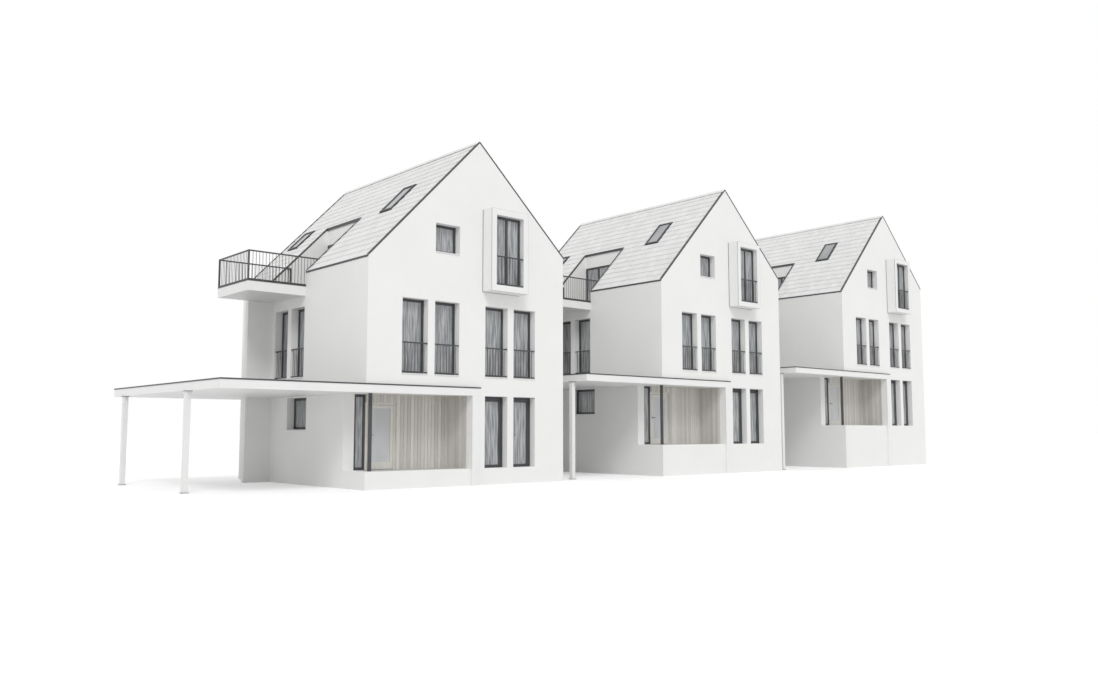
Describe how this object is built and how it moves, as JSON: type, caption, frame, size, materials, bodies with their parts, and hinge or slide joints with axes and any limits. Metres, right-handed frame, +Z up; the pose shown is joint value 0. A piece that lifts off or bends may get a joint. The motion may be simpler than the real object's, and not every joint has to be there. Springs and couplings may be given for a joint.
{
  "type": "row of modern gabled houses",
  "caption": "Modern gabled houses in a row stepping up a slope, each with a flat carport, recessed entrance, box-framed attic window, balcony and roof terrace.",
  "frame": {"origin": "centre of the row's footprint at the feet of the walls and posts", "axes": "+X along the row, uphill from the first house to the third; +Y from the front gables to the back; +Z up"},
  "size_m": [37.58, 9.47, 12.57],
  "materials": {
    "white_render": "fine white mineral render",
    "white_panel": "white painted panels",
    "roof_tiles": "pale grey flat roof tiles",
    "timber_boards": "upright weathered timber boards",
    "dark_metal": "dark grey powder coat",
    "concrete": "plain concrete",
    "glazing": "dark window glass"
  },
  "bodies": {
    "houses": {"house_1_front_wall": "white_render", "house_1_left_wall": "white_render", "house_1_right_wall": "white_render", "house_1_back_wall": "white_render", "house_1_roof": "roof_tiles", "house_2_front_wall": "white_render", "house_2_left_wall": "white_render", "house_2_right_wall": "white_render", "house_2_back_wall": "white_render", "house_2_roof": "roof_tiles", "house_3_front_wall": "white_render", "house_3_left_wall": "white_render", "house_3_right_wall": "white_render", "house_3_back_wall": "white_render", "house_3_roof": "roof_tiles", "front_bases": "white_render", "entrance_walls": "timber_boards", "floors": "concrete", "window_frames": "dark_metal", "window_glass": "glazing", "door_frames": "dark_metal", "entrance_frames": "timber_boards", "projecting_frames": "white_panel", "railings": "dark_metal", "balcony_slabs": "white_panel", "terrace_walls": "white_render", "skylights": "dark_metal", "fin_walls": "white_render", "carport_roofs": "white_panel", "posts": "white_panel", "entrance_columns": "dark_metal"},
    "house_1_entrance_door": {"house_1_entrance_door": "timber_boards", "house_1_entrance_door_glass": "glazing"},
    "house_1_garden_door_left": {"house_1_garden_door_left": "dark_metal", "house_1_garden_door_left_glass": "glazing"},
    "house_1_garden_door_right": {"house_1_garden_door_right": "dark_metal", "house_1_garden_door_right_glass": "glazing"},
    "house_2_entrance_door": {"house_2_entrance_door": "timber_boards", "house_2_entrance_door_glass": "glazing"},
    "house_2_garden_door_left": {"house_2_garden_door_left": "dark_metal", "house_2_garden_door_left_glass": "glazing"},
    "house_2_garden_door_right": {"house_2_garden_door_right": "dark_metal", "house_2_garden_door_right_glass": "glazing"},
    "house_3_entrance_door": {"house_3_entrance_door": "timber_boards", "house_3_entrance_door_glass": "glazing"},
    "house_3_garden_door_left": {"house_3_garden_door_left": "dark_metal", "house_3_garden_door_left_glass": "glazing"},
    "house_3_garden_door_right": {"house_3_garden_door_right": "dark_metal", "house_3_garden_door_right_glass": "glazing"}
  },
  "joints": [
    {"name": "house_1_entrance_door_hinge", "type": "hinge", "parent": "houses", "child": "house_1_entrance_door", "pos_m": [-12.655, -2.598, 1.53], "axis": [0, 0, -1], "range_deg": [0, 90]},
    {"name": "house_1_garden_door_left_hinge", "type": "hinge", "parent": "houses", "child": "house_1_garden_door_left", "pos_m": [-10.005, -3.683, 1.53], "axis": [0, 0, 1], "range_deg": [0, 90]},
    {"name": "house_1_garden_door_right_hinge", "type": "hinge", "parent": "houses", "child": "house_1_garden_door_right", "pos_m": [-8.04, -3.683, 1.53], "axis": [0, 0, -1], "range_deg": [0, 90]},
    {"name": "house_2_entrance_door_hinge", "type": "hinge", "parent": "houses", "child": "house_2_entrance_door", "pos_m": [0.245, -2.598, 2.19], "axis": [0, 0, -1], "range_deg": [0, 90]},
    {"name": "house_2_garden_door_left_hinge", "type": "hinge", "parent": "houses", "child": "house_2_garden_door_left", "pos_m": [2.895, -3.683, 2.19], "axis": [0, 0, 1], "range_deg": [0, 90]},
    {"name": "house_2_garden_door_right_hinge", "type": "hinge", "parent": "houses", "child": "house_2_garden_door_right", "pos_m": [4.86, -3.683, 2.19], "axis": [0, 0, -1], "range_deg": [0, 90]},
    {"name": "house_3_entrance_door_hinge", "type": "hinge", "parent": "houses", "child": "house_3_entrance_door", "pos_m": [12.815, -2.838, 2.99], "axis": [0, 0, -1], "range_deg": [0, 90]},
    {"name": "house_3_garden_door_left_hinge", "type": "hinge", "parent": "houses", "child": "house_3_garden_door_left", "pos_m": [15.465, -3.923, 2.99], "axis": [0, 0, 1], "range_deg": [0, 90]},
    {"name": "house_3_garden_door_right_hinge", "type": "hinge", "parent": "houses", "child": "house_3_garden_door_right", "pos_m": [17.43, -3.923, 2.99], "axis": [0, 0, -1], "range_deg": [0, 90]}
  ]
}
